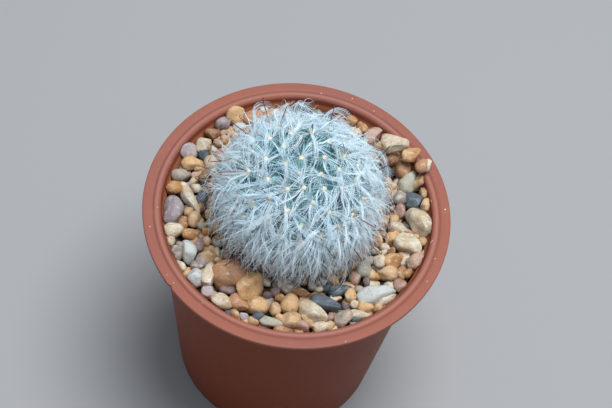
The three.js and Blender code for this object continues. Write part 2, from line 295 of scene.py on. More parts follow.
class Finish:
    """A material, built up from nodes that are added by type with their settings and sockets."""

    def __init__(self, name, surface):
        self.material = bpy.data.materials.new(name)
        self.material.use_nodes = True
        self.tree = self.material.node_tree
        self.surface = self.tree.nodes["Principled BSDF"]
        for socket, value in surface.items():
            self.show(socket, value)

    def node(self, kind, settings, sockets, output=0):
        """Adds a node and gives one of its outputs."""
        node = self.tree.nodes.new("ShaderNode" + kind)
        for name, value in settings.items():
            setattr(node, name, value)
        for name, value in sockets.items():
            plug(self.tree, node.inputs[name], value)
        return Output(self.tree, node.outputs[output])

    def place(self, stretch=(1, 1, 1)):
        """The place on the piece in its own frame, stretched along the axes."""
        spot = self.node("TexCoord", {}, {}, "Object")
        return self.node("Mapping", {}, {"Vector": spot, "Scale": stretch})

    def height(self):
        """How high a place on the piece lies."""
        spot = self.node("TexCoord", {}, {}, "Object")
        return self.node("SeparateXYZ", {}, {0: spot}, "Z")

    def noise(self, size, detail=3, stretch=(1, 1, 1)):
        """Clouds from 0 to 1 whose patches are about as wide as the size."""
        sockets = {"Vector": self.place(stretch), "Scale": 0.5 / size, "Detail": detail}
        return self.node("TexNoise", {}, sockets, "Fac")

    def between(self, value, low, high):
        """A mask that rises smoothly from 0 to 1 as a value goes from low to high."""
        settings = {"interpolation_type": "SMOOTHSTEP"}
        sockets = {"Value": value, "From Min": low, "From Max": high}
        return self.node("MapRange", settings, sockets)

    def mix(self, mask, first, second):
        """The first colour where a mask is 0, and the second where it is 1."""
        settings = {"data_type": "RGBA"}
        return self.node("Mix", settings, {0: mask, 6: first, 7: second}, 2)

    def attribute(self, name):
        """A number that is kept on the piece's points."""
        return self.node("Attribute", {"attribute_name": name}, {}, "Fac")

    def bump(self, height, distance):
        """Makes the surface look uneven by so much, without moving it."""
        sockets = {"Height": height, "Distance": distance, "Strength": 1}
        self.show("Normal", self.node("Bump", {}, sockets))

    def show(self, socket, value):
        """Sets one socket of the surface."""
        plug(self.tree, self.surface.inputs[socket], value)


def hand_over(piece, finish, node):
    """Gives a finished piece its material and its body, and hides the model's node that it stands for.
    """
    piece.data.materials.clear()
    piece.data.materials.append(finish.material)
    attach(piece, "root")
    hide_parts(node)


clay_red = (0.275, 0.100, 0.078)
clay_orange = (0.298, 0.105, 0.070)
# painted shade for the wall under the flange
painted_shade_body = (0.213, 0.046, 0.020)
# painted bounce light for the inner wall near the top
clay_inside_bounce_light = (0.37, 0.135, 0.070)
# a paler pink for wear and scuffs, also used as a painted highlight on the bead's crest
clay_wear_and_highlight = (0.36, 0.16, 0.13)
clay_shade = (0.17, 0.06, 0.045)
dust_white = (0.70, 0.62, 0.56)
plastic = Finish("terracotta plastic", {"Specular IOR Level": 0.07})
from_axis = plastic.node("VectorMath", {"operation": "LENGTH"}, {0: plastic.place((1, 1, 0))}, "Value")
height = plastic.height()
hue = plastic.between(plastic.noise(16 * mm), 0.35, 0.65)
colour = plastic.mix(hue, clay_red, clay_orange)
# The wall below the flange is coloured a darker brown: painted shade cast by the flange, not a colour of
# the plastic.
shaded_under_rim = plastic.between(height, flange_low + 0.2 * mm, flange_low - 0.4 * mm)
colour = plastic.mix(shaded_under_rim, colour, painted_shade_body)
# The inner wall near the top is coloured a lighter orange: painted light bounced from the pebbles.
# Deeper down it takes the painted shade of the body.
out_of_wall = from_axis - height * wall_slope
inside = plastic.between(out_of_wall, foot_radius - 0.45 * mm, foot_radius - 0.9 * mm)
inside = inside * plastic.between(height, 60 * mm, 70 * mm)
colour = plastic.mix(inside, colour, clay_inside_bounce_light)
# Along the crest of the bead the plastic is paler: a painted highlight, partly wear of the edge.
crest_highlight = plastic.between(from_axis, bead_centre_radius - 0.5 * mm, bead_centre_radius - 0.1 * mm)
crest_highlight = crest_highlight * plastic.between(from_axis, bead_centre_radius + 0.7 * mm, bead_centre_radius + 0.3 * mm)
crest_highlight = crest_highlight * plastic.between(height, pot_height - 0.8 * mm, pot_height - 0.4 * mm)
colour = plastic.mix(crest_highlight * 0.6, colour, clay_wear_and_highlight)
groove = plastic.between(from_axis, groove_radius - 0.25 * mm, groove_radius)
groove = groove * plastic.between(from_axis, groove_radius + 0.35 * mm, groove_radius + 0.05 * mm)
groove = groove * plastic.between(height, pot_height - 0.8 * mm, pot_height - 0.6 * mm)
colour = plastic.mix(groove * 0.5, colour, clay_shade)
scuffs = plastic.between(plastic.noise(1.1 * mm, 6), 0.52, 0.78)
colour = plastic.mix(scuffs * 0.2, colour, clay_wear_and_highlight)
specks = plastic.between(plastic.noise(0.5 * mm, 1), 0.755, 0.785)
colour = plastic.mix(specks * (1 - shaded_under_rim) * 0.8, colour, dust_white)
plastic.show("Base Color", colour)
plastic.show("Roughness", scuffs * 0.18 + 0.42)
plastic.bump(plastic.noise(0.35 * mm, 4) + plastic.noise(2.5 * mm) * 0.6, 0.06 * mm)
hand_over(pot, plastic, "pot")

# The potting mix: a plug of dark peat that fills the pot under the pebbles, with a hole where the root
# stands. Its top is crumbly, and it shows between the pebbles and through the drain holes.
soil_top = 67.6 * mm
soil_gap = 0.3 * mm
soil_low = floor_high + soil_gap
soil_sides = 96
root_outline = [(2.4, 51), (4.6, 56), (6.3, 62), (7.4, 68), (7.8, 75)]
root_clearance = 0.4
peat_black = (0.018, 0.011, 0.007)
peat_brown = (0.075, 0.045, 0.028)
perlite_white = (0.6, 0.57, 0.5)


def roughen(piece, texture, depth, level):
    """Moves a piece's surface in and out by a texture. What has the level's grey stays in place."""
    settings = {"texture": texture, "texture_coords": "LOCAL", "strength": depth, "mid_level": level}
    modify(piece, "DISPLACE", **settings)


def smooth(piece):
    """Shades a piece smooth."""
    only(piece)
    bpy.ops.object.shade_smooth()


soil_wall = floor_edge - soil_gap
root_hole = [((radius + root_clearance) * mm, height * mm) for radius, height in root_outline[3::-1]]
soil_outline = [
    *[(soil_wall * share, soil_low) for share in (0.15, 0.35, 0.55, 0.75, 0.9, 1)],
    *[(inner_radius(height) - soil_gap, height) for height in np.linspace(5.4, 67.2, 24) * mm],
    *[(radius, soil_top) for radius in np.linspace(33, 8, 22) * mm],
    *[(radius, min(height, soil_top)) for radius, height in root_hole],
]
soil = draw_up("potting_mix", soil_outline, soil_sides, "filled")

crumbs = bpy.data.textures.new("crumbs", "CLOUDS")
crumbs.noise_scale = 1.6 * mm
crumbs.noise_depth = 3
roughen(soil, crumbs, 0.5 * mm, 1.0)
smooth(soil)

peat = Finish("potting mix", {"Roughness": 0.95})
clods = peat.between(peat.noise(1.2 * mm, 6), 0.35, 0.7)
perlite = peat.between(peat.noise(1.6 * mm, 1), 0.7, 0.74)
peat.show("Base Color", peat.mix(perlite, peat.mix(clods, peat_black, peat_brown), perlite_white))
peat.bump(peat.noise(0.5 * mm, 6) + clods, 0.5 * mm)
hand_over(soil, peat, "soil")

# The pebbles: tumbled river stones of 2 to 10 mm, poured on the potting mix. The stones that show in the
# photograph lie where it shows them, and smaller ones and a lower layer fill the ground between them.
stone_level = 72.9 * mm
heap_slope = 0.037
bore_clearance = 0.1 * mm
stone_faces = {"large": 1200, "middle": 340, "small": 90}
large_length = 6.3
middle_length = 3.8
shape_count = 9
smooth_shape = 0
slab_length = 8
stone_swell = 1.2
draw_factor = 16807
draw_modulus = 2147483647

# Each stone: its colour, x, y, length, width, turn in degrees and lift, in millimetres.
placed_stones = [
    # front left
    ("brown", -14.5, -20, 8, 6.5, 20, 0.5),
    ("orange", -8.5, -22.5, 7.5, 6, 40, 0.5),
    ("orange", -6, -27.5, 5, 4, 10, 0),
    ("brown", -10.5, -27.5, 5, 3.5, -25, 0),
    ("mauve", -14, -24, 4, 2.5, 0, -0.8),
    ("cream", -15, -28, 5, 3, -25, 0),
    ("slate", -5, -30.5, 3.5, 2, 5, 0),
    ("sage", -2, -31.5, 5.5, 2.5, -10, 0),
    ("tan", -1.5, -27.5, 3.5, 2.5, 90, 0),
    # front
    ("orange", 2, -25.5, 4.5, 4, 90, 0.3),
    ("tan", 3, -30, 4.5, 3.5, 10, 0),
    ("pink", 5.5, -31, 4, 2.5, -10, 0),
    ("brown", 4, -22, 4.5, 2.5, 0, 0),
    ("cream", 8, -27, 7.5, 4, -25, 0.5),
    ("tan", 7, -29.5, 4, 2, -30, 0),
    ("slate", 11, -24, 7.5, 3, -15, 0.5),
    ("slate", 14, -19.5, 5.5, 2.5, 25, 0),
    ("cream", 10.5, -30.5, 3.5, 2.5, 20, 0),
    ("grey", 16, -27, 4.5, 4, 50, 0.2),
    # front right
    ("orange", 17, -20.5, 3.5, 2.5, 90, 0),
    ("white", 23.2, -19.1, 8.7, 4, 22, 0.4),
    ("pink", 17.5, -15.5, 3, 2.5, 90, 0),
    ("cream", 26, -19.5, 4.5, 2.5, 30, 0),
    ("orange", 21, -23, 4, 3, 0, 0),
    ("cream", 20, -25.5, 5.5, 2, -5, 0),
    ("sage", 19, -12.5, 4, 4, 10, 0),
    ("orange", 22, -13.5, 3.5, 2.5, -10, 0),
    ("tan", 25.5, -12.5, 5, 3.5, 10, 0),
    ("orange", 26.5, -8.5, 4.5, 3.5, 20, 0.3),
    ("pink", 29, -15, 4, 3, 80, 0),
    ("cream", 23, -9.5, 3, 3, 0, 0),
    # right
    ("cream", 29.7, -3.8, 6.6, 4.8, -35, 1),
    ("cream", 31.8, 3.2, 7.4, 5.4, -45, 1.4),
    ("cream", 26.6, 0.8, 4.6, 3, -25, 0.3),
    ("orange", 25.5, -2, 4, 3, 70, 0),
    ("pink", 26.5, 6.5, 3.5, 2.5, 90, 0),
    ("grey", 26, 10.5, 4, 3, 90, 0),
    ("pink", 32.6, -6.8, 6, 2.8, 62, 0.6),
    ("grey", 31, -8.5, 3, 2.5, 70, 0),
    # back right
    ("brown", 22, 21.5, 5, 4, 10, 0.6),
    ("brown", 26, 18.5, 4.5, 3.5, 80, 1),
    ("tan", 30.4, 15.6, 4.2, 2.6, 80, 1.6),
    ("sage", 27.5, 15, 5.5, 4.5, 80, 0.5),
    ("slate", 29.5, 10, 4, 4, 0, -0.5),
    ("tan", 32.4, 12.4, 2.8, 2.5, 0, 0.5),
    ("orange", 33, 8.8, 3.2, 2.4, 80, 0.8),
    # left
    ("lilac", -31.9, -5.2, 6.8, 5, 90, 1.2),
    ("orange", -32.3, 1.6, 4.2, 3.2, 10, 0.8),
    ("cream", -28, -0.5, 8.5, 3, -55, 0.3),
    ("slate", -25, 0.5, 4.5, 2.5, 90, -0.3),
    ("cream", -30.6, -10.6, 5, 3.2, 20, 0.8),
    ("cream", -31, -13.9, 3.2, 2.4, 80, 0.4),
    ("orange", -26, -10.5, 4.5, 2.5, 10, 0),
    ("tan", -26, -6, 4, 3, 90, 0),
    ("grey", -28.8, -16.2, 4, 3, 90, 0.4),
    ("white", -25.5, -16, 6, 3.5, -60, 0.5),
    ("mauve", -23.5, -13, 3.5, 2.5, 90, -0.3),
    ("tan", -20.5, -16, 4, 3, 10, 0),
    ("cream", -19.5, -21.5, 6.5, 3, 90, 0.8),
    ("white", -23, -22.8, 4.8, 4.2, 10, 0.6),
    ("grey", -23, -19, 3, 2.5, 0, 0),
    ("lilac", -19, -26, 3, 2.5, -10, 0),
    # back left
    ("grey", -31.4, 6, 5, 3, 10, 0.6),
    ("orange", -29.5, 10, 4.5, 3.5, 0, 0),
    ("brown", -25.5, 7.5, 3, 3, 0, 0),
    ("lilac", -30.9, 13.2, 4, 4, 0, 0.8),
    ("cream", -27.2, 16.2, 4, 3.6, 0, 0.6),
    ("orange", -20.5, 26.5, 4.5, 3.5, 20, 1.5),
    ("lilac", -23.5, 23.5, 3.5, 3, 30, 0.8),
    ("brown", -25.5, 20.5, 4, 3, 40, 0),
]

# The smaller stones that the photograph shows between them.
small_stones = [
    ("tan", -11.2, -30.6, 2.6, 1.7, -36, 0),
    ("lilac", -8.8, -31, 2.6, 1.9, -11, 0),
    ("tan", -6.3, -31.8, 2.8, 1.6, -16, 0),
    ("mauve", -3.8, -24.2, 2.3, 2, 10, 0),
    ("mauve", -2.2, -22.8, 2.3, 2, 10, 0),
    ("pink", 12.8, -27.3, 2.7, 1.7, 84, 0),
    ("tan", 12.9, -29.8, 2.4, 2.2, 10, 0),
    ("mauve", 16.1, -23.6, 2.1, 1.8, 10, 0),
    ("cream", 13.3, -21.8, 2.9, 1.8, 10, 0),
    ("cream", 18.6, -22.6, 2.5, 1.8, -11, 0),
    ("tan", 24, -22.3, 2.5, 2.4, 10, 0),
    ("slate", 19.4, -26.4, 2.8, 1.6, 20, 0),
    ("tan", -27.2, 9.8, 3, 2.2, 100, 0),
    ("orange", 30.6, -10.9, 2.7, 2, 68, 0),
    ("cream", -27.1, -20, 3.1, 2.3, -40, 0),
    ("pink", -17.3, -26.6, 3, 1.9, -21, 0),
    ("brown", 25.3, 19.2, 2.7, 2.6, 10, 0),
]

# The stones that lie on the others at the back right, up against the rim and over it.
heaped_stones = [
    ("cream", 22.4, 23.1, 6.4, 4.0, 5, 0),
    ("orange", 27.4, 20.6, 5.2, 3.2, 35, 0),
    ("brown", 30.4, 17.9, 3.6, 2.8, 60, 0),
    ("cream", 31.6, 18.5, 3.2, 2.4, 60, 0),
]

# How the stones are shared out by colour where no stone is listed.
colour_shares = ["tan"] * 6 + ["orange"] * 4 + ["cream"] * 4 + ["brown"] * 4
colour_shares += ["grey"] * 3 + ["lilac", "mauve", "pink", "pink", "slate", "white", "sage"]


def seeded_draw(seed):
    """A seeded generator of numbers from 0 to 1, the same on every run."""
    state = seed
    while True:
        state = (state * draw_factor) % draw_modulus
        yield state / draw_modulus


def scatter(stones, draw, tries, ring, lengths, spacing):
    """Throws stones at random into the free ground of a ring, and keeps those that find room."""
    inner, outer = ring
    shortest, longest = lengths
    thrown = []
    for _ in range(tries):
        radius = inner + (outer - inner) * math.sqrt(next(draw))
        angle = 2 * math.pi * next(draw)
        length = shortest + (longest - shortest) * next(draw)
        width = length * (0.62 + 0.3 * next(draw))
        turn = math.degrees(math.pi * next(draw))
        x = radius * math.cos(angle)
        y = radius * math.sin(angle)
        room = (length + width) * spacing
        if all(math.hypot(s[1] - x, s[2] - y) > (s[3] + s[4]) * spacing + room for s in stones + thrown):
            thrown.append(("any", x, y, length, width, turn, 0))
    return thrown


thrown = scatter(
    placed_stones, seeded_draw(4711), tries=700, ring=(17, 32.6), lengths=(3.9, 6.2), spacing=0.265
)
upper_stones = placed_stones + thrown
gap_stones = scatter(
    upper_stones + small_stones, seeded_draw(88), tries=2600, ring=(16, 33.4), lengths=(2.1, 3.2),
    spacing=0.225,
)
lower_stones = scatter([], seeded_draw(3131), tries=2400, ring=(9, 33), lengths=(3.2, 4.6), spacing=0.24)


def break_stone(seed, faces):
    """A tumbled stone one unit across: a block rounded off, split along flat faces, and worn smooth."""
    chance = np.random.default_rng(seed)
    stone = start_from(bpy.ops.mesh.primitive_cube_add, size=1)
    bpy.ops.object.mode_set(mode="EDIT")
    bpy.ops.mesh.subdivide(number_cuts=7)
    bpy.ops.object.mode_set(mode="OBJECT")
    modify(stone, "CAST", cast_type="SPHERE", factor=chance.uniform(0.78, 1.0), size=0.6)
    bpy.ops.object.mode_set(mode="EDIT")
    for _ in range(0 if seed == smooth_shape else 4):
        normal = Vector(chance.normal(size=3)).normalized()
        split = normal * chance.uniform(0.33, 0.5)
        bpy.ops.mesh.select_all(action="SELECT")
        bpy.ops.mesh.bisect(plane_co=split, plane_no=normal, use_fill=True, clear_outer=True)
    bpy.ops.object.mode_set(mode="OBJECT")
    modify(stone, "REMESH", mode="VOXEL", voxel_size=0.045)
    modify(stone, "SMOOTH", factor=0.5, iterations=18)
    dents = bpy.data.textures.new("dents", "CLOUDS")
    dents.noise_basis = "IMPROVED_PERLIN"
    dents.noise_depth = 0
    for dent_size, dent_depth in ((0.5, 0.18), (0.2, 0.03)):
        dents.noise_scale = dent_size
        roughen(stone, dents, dent_depth, 0.5)
    modify(stone, "DECIMATE", ratio=min(1.0, faces / (2 * len(stone.data.polygons))))
    corners = np.array([vertex.co for vertex in stone.data.vertices])
    spans = corners.max(0) - corners.min(0)
    middle = (corners.max(0) + corners.min(0)) / 2
    stone.data.transform(Matrix.Diagonal((*(1 / spans), 1)) @ Matrix.Translation(-Vector(middle)))
    smooth(stone)
    return stone


def copy_of(piece):
    """A copy of a piece, with a mesh of its own."""
    copy = piece.copy()
    copy.data = piece.data.copy()
    bpy.context.collection.objects.link(copy)
    return copy


def give_tone(piece, tone):
    """Keeps one number on every point of a piece, for its material to read."""
    values = piece.data.attributes.new("tone", "FLOAT", "POINT").data
    values.foreach_set("value", [tone] * len(values))


def join(parts, name):
    """Makes one piece of several."""
    only(parts[0])
    for part in parts:
        part.select_set(True)
    bpy.ops.object.join()
    parts[0].name = name
    return parts[0]


stone_shapes = {}
for size_name, faces in stone_faces.items():
    stone_shapes[size_name] = [break_stone(seed, faces) for seed in range(shape_count)]
stone_chance = np.random.default_rng(57)
stones_by_colour = {}


def lay_stones(stones, sink, thickness_share, thickness_more, rise_share=0):
    """Copies stone shapes to their places in the heap, and files them under their colours.

    A stone is as thick as a share of its width and a little more. It is sunk by a depth in millimetres,
    and one that lies on others is raised by a share of its width.
    """
    for colour, x, y, length, width, turn, lift in stones:
        if colour == "any":
            colour = stone_chance.choice(colour_shares)
        size_name = "small"
        if length > middle_length and sink < 1:
            size_name = "middle"
        if length > large_length:
            size_name = "large"
        pick = stone_chance.integers(shape_count)
        if colour == "white" and length > slab_length:
            pick = smooth_shape
        copy = copy_of(stone_shapes[size_name][pick])
        quarters = stone_chance.integers(0, 4, 3) * math.pi / 2
        roll = Euler(quarters + stone_chance.uniform(-0.25, 0.25, 3)).to_matrix().to_4x4()
        copy.data.transform(roll)
        thickness = thickness_share * width + thickness_more + lift
        size = Vector((length, width, thickness)) * mm * stone_swell
        copy.data.transform(Matrix.Diagonal((*size, 1)))
        taper = 0.55 * (1 - width / length)
        for vertex in copy.data.vertices:
            vertex.co.y *= 1 - taper * vertex.co.x / (size.x / 2)
        tilt = Euler((*stone_chance.uniform(-0.2, 0.2, 2), math.radians(turn))).to_matrix().to_4x4()
        copy.data.transform(tilt)
        height = stone_level + (heap_slope * y + lift / 2 - sink + rise_share * width) * mm
        copy.data.transform(Matrix.Translation((x * mm, y * mm, height)))
        give_tone(copy, stone_chance.uniform(0, 1))
        stones_by_colour.setdefault(str(colour), []).append(copy)


lay_stones(upper_stones, sink=0.2, thickness_share=0.78, thickness_more=0.7)
lay_stones(small_stones, sink=0.55, thickness_share=0.8, thickness_more=0.8)
lay_stones(gap_stones, sink=0.5, thickness_share=0.8, thickness_more=0.8)
lay_stones(lower_stones, sink=1.9, thickness_share=0.7, thickness_more=0.6)
lay_stones(heaped_stones, sink=-3.6, thickness_share=0.75, thickness_more=0.3, rise_share=0.45)
for shapes in stone_shapes.values():
    for shape in shapes:
        bpy.data.objects.remove(shape)


def keep_inside(piece):
    """Presses what would pass through the pot's wall back to just inside it, up to the rim."""
    for vertex in piece.data.vertices:
        x, y, z = vertex.co
        wall = inner_radius(min(z, bore_low))
        share = min(max((z - bore_low) / bore_bend, 0), 1)
        limit = wall + (bore_radius - wall) * share - bore_clearance
        radius = math.hypot(x, y)
        if radius > limit and z < pot_height:
            vertex.co.x *= limit / radius
            vertex.co.y *= limit / radius


# The light and dark tones of each colour of stone, its veins, and its share of rusty patches.
stone_tones = {
    "orange": ((0.59, 0.36, 0.18), (0.40, 0.19, 0.068), (0.62, 0.50, 0.35), 0.25),
    "tan": ((0.53, 0.345, 0.195), (0.36, 0.205, 0.105), (0.60, 0.49, 0.36), 0.35),
    "brown": ((0.42, 0.215, 0.115), (0.27, 0.135, 0.07), (0.52, 0.36, 0.25), 0.2),
    "cream": ((0.62, 0.54, 0.42), (0.48, 0.37, 0.25), (0.68, 0.64, 0.57), 0.4),
    "white": ((0.49, 0.51, 0.49), (0.43, 0.45, 0.435), (0.53, 0.535, 0.51), 0.06),
    "sage": ((0.39, 0.38, 0.305), (0.28, 0.265, 0.20), (0.47, 0.46, 0.40), 0.15),
    "lilac": ((0.42, 0.355, 0.37), (0.30, 0.245, 0.26), (0.52, 0.46, 0.45), 0.15),
    "mauve": ((0.21, 0.145, 0.145), (0.13, 0.09, 0.097), (0.305, 0.24, 0.235), 0.1),
    "pink": ((0.47, 0.30, 0.23), (0.34, 0.20, 0.155), (0.56, 0.43, 0.36), 0.2),
    "grey": ((0.39, 0.34, 0.295), (0.255, 0.215, 0.185), (0.52, 0.48, 0.44), 0.35),
    "slate": ((0.103, 0.124, 0.145), (0.059, 0.076, 0.093), (0.193, 0.214, 0.228), 0),
}
rust = (0.43, 0.235, 0.10)
pit_brown = (0.13, 0.08, 0.05)


def stone_finish(name, light, dark, vein, rust_share):
    """Stone of one colour: each stone has a tone of its own, with stains, veins and small pits."""
    stone = Finish(name + " stone", {"Specular IOR Level": 0.4})
    tone = stone.attribute("tone")
    stains = stone.between(stone.noise(1.7 * mm, 4) + tone * 0.35 - 0.17, 0.36, 0.6)
    colour = stone.mix(stains, dark, light)
    veins = stone.between(stone.noise(1.0 * mm, 5, (1, 1.8, 1)), 0.54, 0.66)
    colour = stone.mix(veins * 0.7, colour, vein)
    rusty = stone.between(stone.noise(1.4 * mm, 3, (1.3, 1, 1)) + tone * 0.2 - 0.1, 0.52, 0.7)
    colour = stone.mix(rusty * rust_share, colour, rust)
    grains = stone.between(stone.noise(0.24 * mm, 2), 0.58, 0.7)
    colour = stone.mix(grains * 0.5, colour, pit_brown)
    colour = stone.mix(stone.between(stone.noise(0.3 * mm, 2), 0.6, 0.68) * 0.45, colour, vein)
    stone.show("Base Color", colour)
    stone.show("Roughness", stains * 0.15 + 0.55)
    stone.bump(stone.noise(0.3 * mm, 4) + stone.noise(1.2 * mm, 2), 0.12 * mm)
    return stone


for colour, stones in stones_by_colour.items():
    pebbles = join(stones, "pebbles_" + colour)
    keep_inside(pebbles)
    hand_over(pebbles, stone_finish(colour, *stone_tones[colour]), "gravel")

# The grit under the pebbles: sand and crumbs of the same stone, a bed that the pebbles sink into. It is
# coloured near black and dark brown as painted shade, and only dark gaps between the stones show it.
grit_sides = 96
grit_low = soil_top + soil_gap
grit_top = 70.7 * mm
grit_rings = np.linspace(33.6, 8.3, 26) * mm
# near black grit: painted shade in the gaps between the pebbles
grit_shade_black = (0.035, 0.02, 0.012)
grit_brown = (0.16, 0.10, 0.06)
grit_wall = inner_radius(grit_low) - soil_gap

grit_outline = [
    *[(radius, grit_low) for radius in (grit_rings[-1], 20 * mm, grit_wall)],
    *[(radius, grit_top) for radius in grit_rings],
]
grit = draw_up("grit", grit_outline, grit_sides, "bridged")
for vertex in grit.data.vertices:
    if vertex.co.z > grit_low + mm:
        vertex.co.z += heap_slope * vertex.co.y
crumbs.noise_scale = 1.1 * mm
roughen(grit, crumbs, 0.7 * mm, 1.0)
smooth(grit)

sand = Finish("grit", {"Roughness": 0.95})
grains = sand.between(sand.noise(0.5 * mm, 4), 0.4, 0.7)
sand.show("Base Color", sand.mix(grains, grit_shade_black, grit_brown))
sand.bump(sand.noise(0.4 * mm, 5), 0.4 * mm)
hand_over(grit, sand, "gravel")

# The stem: a round body of blue-green flesh, covered by spirals of soft tubercles, that narrows into a
# neck and a tap root under the pebbles. The tubercles are pressed into the core and melt into it.
stem_centre = Vector((-0.4, 0, 83)) * mm
stem_radius = 15.6 * mm
stem_half_height = 13.2 * mm
stem_voxel = 0.42 * mm
root_sides = 32
root_tip = (0.6 * mm, 50.1 * mm)
neck_top = (7.4 * mm, 80 * mm)
tubercle_height = 3.4 * mm
tubercle_length = 5.4 * mm
tubercle_sink = 2.75 * mm
tubercle_base_radius = 3.1 * mm
tubercle_tip_radius = 1.15 * mm
tubercle_round = 0.5 * mm
tubercle_count = 124
tubercle_spacing = 4.6 * mm
lowest_tubercle = -0.46
spread_rounds = 30
spread_push = 0.3
spiral_turn = math.radians(137.36)
spiral_start = math.radians(216.2)
crown_lean_right = math.radians(2.5)
crown_lean_front = math.radians(5.6)
tip_size = Vector((1, 1, 0)) * (stem_radius + tubercle_height)
tip_size.z = stem_half_height + tubercle_height
# the bluer, darker flesh deep between the tubercles: partly its own hue, partly painted shade
flesh_blue_hollow_shade = (0.036, 0.132, 0.175)
flesh_green = (0.095, 0.270, 0.270)
flesh_mottle = (0.12, 0.24, 0.16)
flesh_scatter = (0.5, 1.0, 0.4)

# The pixels of the areoles that show in the photograph.
seen_areoles = [
    (299.4, 173.7), (321.1, 174.5), (301.3, 158.4), (304, 187.9), (324.2, 157.7), (285.2, 164.2),
    (324.2, 188.7), (310.8, 145), (287.5, 189.4), (339.1, 169.5), (313.1, 202.8), (268, 179.5),
    (341.4, 188.7), (329.1, 212.7), (301.3, 225.3), (268, 217.2), (320, 235.6), (342.9, 239.4),
    (281.8, 237.5), (301.7, 254), (284, 268.7), (239, 196.3), (253.6, 140.2), (236, 161.5),
    (248.6, 171.4), (352.5, 215), (346.4, 136.3), (316.5, 124.5), (329, 121), (375.6, 165.3),
    (373.7, 183.6), (260.7, 224), (232.5, 214),
]


def over_stem(place):
    """How far a place is from the middle of the stem, where 1 is on the tips of the tubercles."""
    return Vector((place[axis] - stem_centre[axis]) / tip_size[axis] for axis in range(3))


def on_pelt(pixel, height):
    """Where a pixel's line of sight meets the plant at a height that is 1 on the tips, or passes it."""
    ray = pixel_ray(pixel)
    start = over_stem(camera_place)
    run = over_stem(camera_place + ray) - start
    nearest = -start.dot(run) / run.length_squared
    inside = height ** 2 - (start + run * nearest).length_squared
    return camera_place + ray * (nearest - math.sqrt(max(0, inside)) / run.length)


crown_lean = Matrix.Rotation(crown_lean_front, 3, "X") @ Matrix.Rotation(crown_lean_right, 3, "Y")
spots = []
for i in range(tubercle_count):
    share = (i + 0.5) / tubercle_count
    level = 1 - (1 - lowest_tubercle) * share
    angle = spiral_start + i * spiral_turn
    ring = math.sqrt(1 - level * level)
    spots.append(crown_lean @ Vector((ring * math.cos(angle), ring * math.sin(angle), level)))

# Each areole that shows takes the place of the nearest one of the even spiral, and the rest give way.
held = set()
for pixel in seen_areoles:
    spot = over_stem(on_pelt(pixel, 1)).normalized()
    free = [i for i in range(tubercle_count) if i not in held]
    nearest = min(free, key=lambda i: (spots[i] - spot).length)
    spots[nearest] = spot
    held.add(nearest)
least_gap = tubercle_spacing / stem_radius
for _ in range(spread_rounds):
    for i in set(range(tubercle_count)) - held:
        push = Vector((0, 0, 0))
        for other in spots[:i] + spots[i + 1 :]:
            apart = spots[i] - other
            push += apart.normalized() * max(0, least_gap - apart.length) * spread_push
        spots[i] = (spots[i] + push).normalized()

areoles = []
for spot in spots:
    outward = Vector(spot[axis] / tip_size[axis] for axis in range(3)).normalized()
    tip = stem_centre + Vector(spot[axis] * tip_size[axis] for axis in range(3))
    areoles.append((tip, outward, spot.z))

stem = start_from(
    bpy.ops.mesh.primitive_uv_sphere_add, segments=48, ring_count=24, radius=1, location=stem_centre
)
stem.scale = (stem_radius, stem_radius, stem_half_height)
bpy.ops.object.transform_apply(location=True, rotation=True, scale=True)

neck_outline = [(radius * mm, height * mm) for radius, height in root_outline]
neck = draw_up("neck", [root_tip, *neck_outline, neck_top], root_sides, "filled")

size = {"radius1": tubercle_base_radius, "radius2": tubercle_tip_radius, "depth": tubercle_length}
tubercle = start_from(bpy.ops.mesh.primitive_cone_add, vertices=20, **size)
bpy.ops.object.mode_set(mode="EDIT")
bpy.ops.mesh.select_all(action="DESELECT")
bpy.ops.object.mode_set(mode="OBJECT")
for face in tubercle.data.polygons:
    face.select = face.normal.z > 0.9
bpy.ops.object.mode_set(mode="EDIT")
bpy.ops.mesh.bevel(offset=tubercle_round, segments=3, affect="EDGES")
bpy.ops.object.mode_set(mode="OBJECT")
tubercle.data.transform(Matrix.Translation((0, 0, -tubercle_sink)))


def set_on_stem(copy, place, outward):
    """Turns a copy's +Z to point outwards, and moves it to its place on the stem."""
    copy.data.transform(outward.to_track_quat("Z", "Y").to_matrix().to_4x4())
    copy.data.transform(Matrix.Translation(place))


stem_parts = [stem, neck]
for tip, outward, level in areoles:
    copy = copy_of(tubercle)
    set_on_stem(copy, tip, outward)
    stem_parts.append(copy)
bpy.data.objects.remove(tubercle)
join(stem_parts, "stem")
modify(stem, "REMESH", mode="VOXEL", voxel_size=stem_voxel)
modify(stem, "SMOOTH", factor=0.5, iterations=5)
skin_texture = bpy.data.textures.new("skin", "CLOUDS")
skin_texture.noise_scale = 2.2 * mm
roughen(stem, skin_texture, 0.25 * mm, 0.5)
smooth(stem)

flesh = Finish("stem", {"Roughness": 0.5, "Subsurface Weight": 0.12, "Subsurface Scale": 1.5 * mm})
flesh.show("Subsurface Radius", flesh_scatter)
offset = flesh.node("VectorMath", {"operation": "SUBTRACT"}, {0: flesh.place(), 1: stem_centre})
scaled = flesh.node("VectorMath", {"operation": "DIVIDE"}, {0: offset, 1: tip_size})
reach = flesh.node("VectorMath", {"operation": "LENGTH"}, {0: scaled}, "Value")
# The flesh darkens and turns bluer from the tips of the tubercles down into the hollows between them:
# partly its own hue, partly painted shade.
colour = flesh.mix(flesh.between(reach, 0.84, 0.99), flesh_blue_hollow_shade, flesh_green)
mottle = flesh.between(flesh.noise(0.8 * mm, 3), 0.4, 0.7)
flesh.show("Base Color", flesh.mix(mottle * 0.25, colour, flesh_mottle))
flesh.bump(flesh.noise(0.25 * mm, 3), 0.06 * mm)
hand_over(stem, flesh, "cactus")

